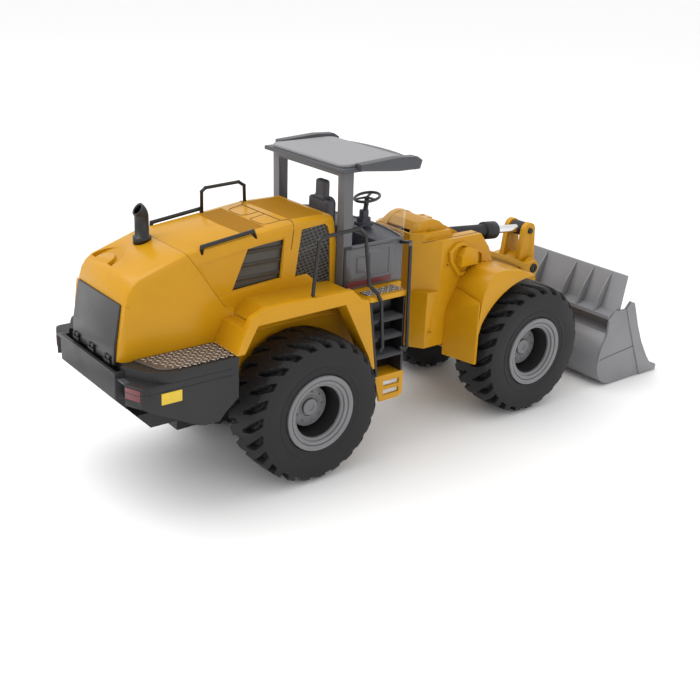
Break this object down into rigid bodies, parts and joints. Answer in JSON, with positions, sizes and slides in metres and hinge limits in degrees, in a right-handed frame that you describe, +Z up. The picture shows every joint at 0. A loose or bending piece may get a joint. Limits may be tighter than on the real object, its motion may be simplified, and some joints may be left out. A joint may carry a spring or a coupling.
{
  "type": "toy front loader",
  "caption": "Articulated toy wheel loader with a lifting boom, tilting bucket, steering centre joint, open cab and chunky treaded wheels.",
  "frame": {"origin": "on the ground, below the centre of the bounding box", "axes": "+X forward towards the bucket, +Y the machine's left, +Z up"},
  "size_m": [0.668, 0.194, 0.284],
  "materials": {
    "yellow_plastic": "satin moulded",
    "charcoal_plastic": "fine texture",
    "grille_plastic": "satin",
    "cab_plastic": "satin moulded",
    "roof_plastic": "satin",
    "visor_plastic": "satin",
    "black_plastic": "satin",
    "checker_plate": "stamped tread plate",
    "louvre_plastic": "satin",
    "dash_plastic": "satin",
    "tyre_rubber": "moulded",
    "rim_plastic": "satin",
    "bucket_metal": "satin grey",
    "steel": "bright",
    "chrome_rod": "polished",
    "lamp_red": "translucent look",
    "reflector_yellow": "plain patch",
    "clear_screen": "clear",
    "gearbox_plastic": "natural",
    "battery_wrap": "sleeve",
    "board_green": "lacquer"
  },
  "bodies": {
    "rear": {"rear_chassis": "charcoal_plastic", "engine_deck": "yellow_plastic", "hood_rear": "yellow_plastic", "hood_front": "yellow_plastic", "rear_grille": "grille_plastic", "bumper": "charcoal_plastic", "tread_plates": "checker_plate", "tail_lamps": "lamp_red", "side_reflectors": "reflector_yellow", "exhaust_stack": "black_plastic", "hood_rails": "black_plastic", "side_louvres": "louvre_plastic", "mesh_panels": "grille_plastic", "rear_fenders": "yellow_plastic", "cab_platform": "yellow_plastic", "cab_tub": "cab_plastic", "door_panels": "cab_plastic", "cab_pillars": "cab_plastic", "cab_roof": "roof_plastic", "roof_visor": "visor_plastic", "windscreen": "clear_screen", "dashboard": "dash_plastic", "steering_wheel": "dash_plastic", "driver_seat": "dash_plastic", "cab_grab_rails": "black_plastic", "step_ladders": "black_plastic", "step_brackets": "yellow_plastic", "steering_pin": "steel", "battery_pack": "battery_wrap", "receiver_board": "board_green", "rear_gearbox": "gearbox_plastic", "body_screws": "steel"},
    "rear_wheels": {"rear_axle": "steel", "rear_left_tyre": "tyre_rubber", "rear_right_tyre": "tyre_rubber", "rear_left_rim": "rim_plastic", "rear_right_rim": "rim_plastic"},
    "front": {"front_frame": "yellow_plastic", "front_fenders": "yellow_plastic", "headlamp_boxes": "yellow_plastic", "front_gearbox": "gearbox_plastic", "front_pins": "steel"},
    "front_wheels": {"front_axle": "steel", "front_left_tyre": "tyre_rubber", "front_right_tyre": "tyre_rubber", "front_left_rim": "rim_plastic", "front_right_rim": "rim_plastic"},
    "boom": {"boom_arms": "yellow_plastic", "boom_pins": "charcoal_plastic"},
    "crank": {"bell_crank": "yellow_plastic", "crank_pin": "charcoal_plastic"},
    "tilt_rod": {"tilt_rod": "chrome_rod"},
    "tilt_barrel": {"tilt_barrel": "charcoal_plastic"},
    "link": {"bucket_link": "yellow_plastic"},
    "lift_rods": {"lift_rods": "chrome_rod"},
    "lift_barrels": {"lift_barrels": "charcoal_plastic"},
    "bucket": {"bucket_shell": "bucket_metal", "bucket_sides": "bucket_metal", "bucket_ribs": "bucket_metal", "link_pin": "charcoal_plastic"}
  },
  "joints": [
    {"name": "steer", "type": "hinge", "parent": "rear", "child": "front", "pos_m": [-0.0185, 0, 0.101], "axis": [0, 0, 1], "range_deg": [-35, 35]},
    {"name": "rear_drive", "type": "hinge", "parent": "rear", "child": "rear_wheels", "pos_m": [-0.156, 0, 0.069], "axis": [0, 1, 0], "continuous": true},
    {"name": "front_drive", "type": "hinge", "parent": "front", "child": "front_wheels", "pos_m": [0.119, 0, 0.069], "axis": [0, 1, 0], "continuous": true},
    {"name": "boom_lift", "type": "hinge", "parent": "front", "child": "boom", "pos_m": [0.026, 0, 0.182], "axis": [0, -1, 0], "range_deg": [0, 45]},
    {"name": "bucket_tilt", "type": "hinge", "parent": "boom", "child": "bucket", "pos_m": [0.218, 0, 0.036], "axis": [0, -1, 0], "range_deg": [-40, 25]},
    {"name": "crank_turn", "type": "hinge", "parent": "boom", "child": "crank", "pos_m": [0.184, 0, 0.13], "axis": [0, -1, 0], "range_deg": [-13.09, 20.65]},
    {"name": "tilt_rod_turn", "type": "hinge", "parent": "crank", "child": "tilt_rod", "pos_m": [0.1845, 0, 0.1695], "axis": [0, -1, 0], "range_deg": [-21.32, 13.51]},
    {"name": "tilt_stroke", "type": "slide", "parent": "tilt_rod", "child": "tilt_barrel", "axis": [-0.9969, 0, 0.0786], "range_m": [-0.0135, 0.0086]},
    {"name": "link_turn", "type": "hinge", "parent": "bucket", "child": "link", "pos_m": [0.2138, 0, 0.0596], "axis": [0, -1, 0], "range_deg": [-32.32, 51.41]},
    {"name": "lift_rod_turn", "type": "hinge", "parent": "boom", "child": "lift_rods", "pos_m": [0.129, 0, 0.12], "axis": [0, -1, 0], "range_deg": [-17.56, 0.5]},
    {"name": "lift_stroke", "type": "slide", "parent": "lift_rods", "child": "lift_barrels", "axis": [-0.953, 0, -0.3028], "range_m": [-0.0005, 0.0638]}
  ],
  "couplings": [
    {"joint": "crank_turn", "follows": "bucket_tilt", "ratio": -0.4797},
    {"joint": "tilt_rod_turn", "follows": "bucket_tilt", "ratio": 0.4957},
    {"joint": "tilt_stroke", "follows": "bucket_tilt", "m_per_rad": 0.01855},
    {"joint": "link_turn", "follows": "bucket_tilt", "ratio": -1.2121},
    {"joint": "lift_rod_turn", "follows": "boom_lift", "ratio": -0.3611},
    {"joint": "lift_stroke", "follows": "boom_lift", "m_per_rad": 0.08055}
  ]
}
